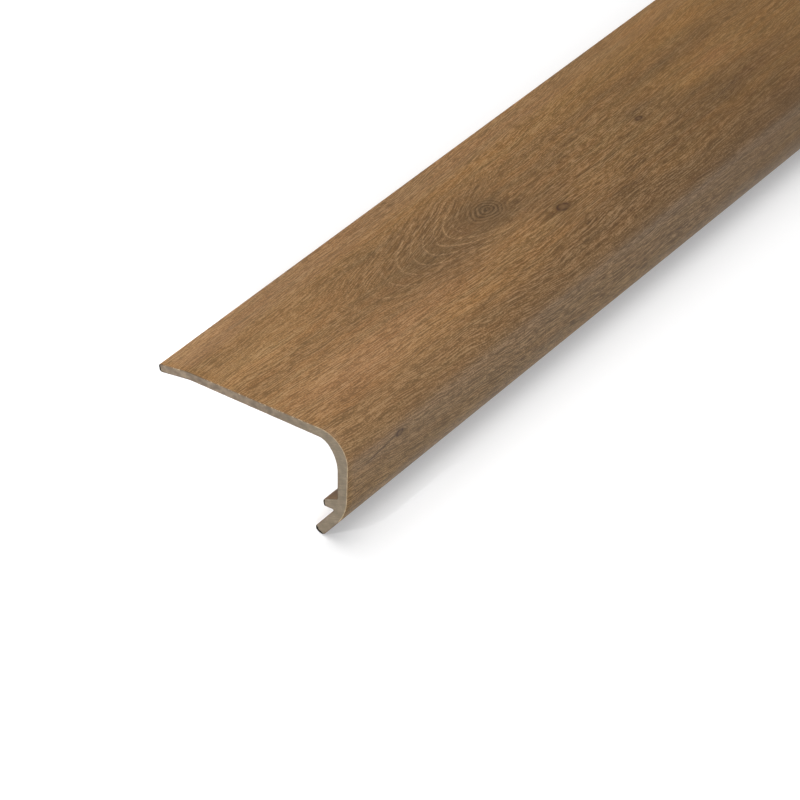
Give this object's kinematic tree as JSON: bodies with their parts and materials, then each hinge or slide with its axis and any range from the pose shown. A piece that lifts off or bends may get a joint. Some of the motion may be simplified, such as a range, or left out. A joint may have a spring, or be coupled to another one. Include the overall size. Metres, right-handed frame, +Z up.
{
  "type": "overlapping stair nosing",
  "caption": "Wood-look overlapping stair nosing: thin tread flange with a drooping back lip, rounded nose, and a drop with a stub leg and slanted foot, made to cap the edge of a stair tread.",
  "frame": {"origin": "on the floor, under the middle of the bounding box", "axes": "+X along the length of the stock; -Y towards the nose and drop, +Y towards the back lip; +Z up, with the profile lying on the tips of its foot and back lip as a loose length does"},
  "size_m": [1.2, 0.0722, 0.0346],
  "materials": {
    "oak_film": "matt embossed oak-look film on a rigid extruded core",
    "core": "bare extruded core, matt, saw-cut at the ends"
  },
  "bodies": {
    "root": {"stair_nosing": "oak_film"}
  },
  "joints": []
}
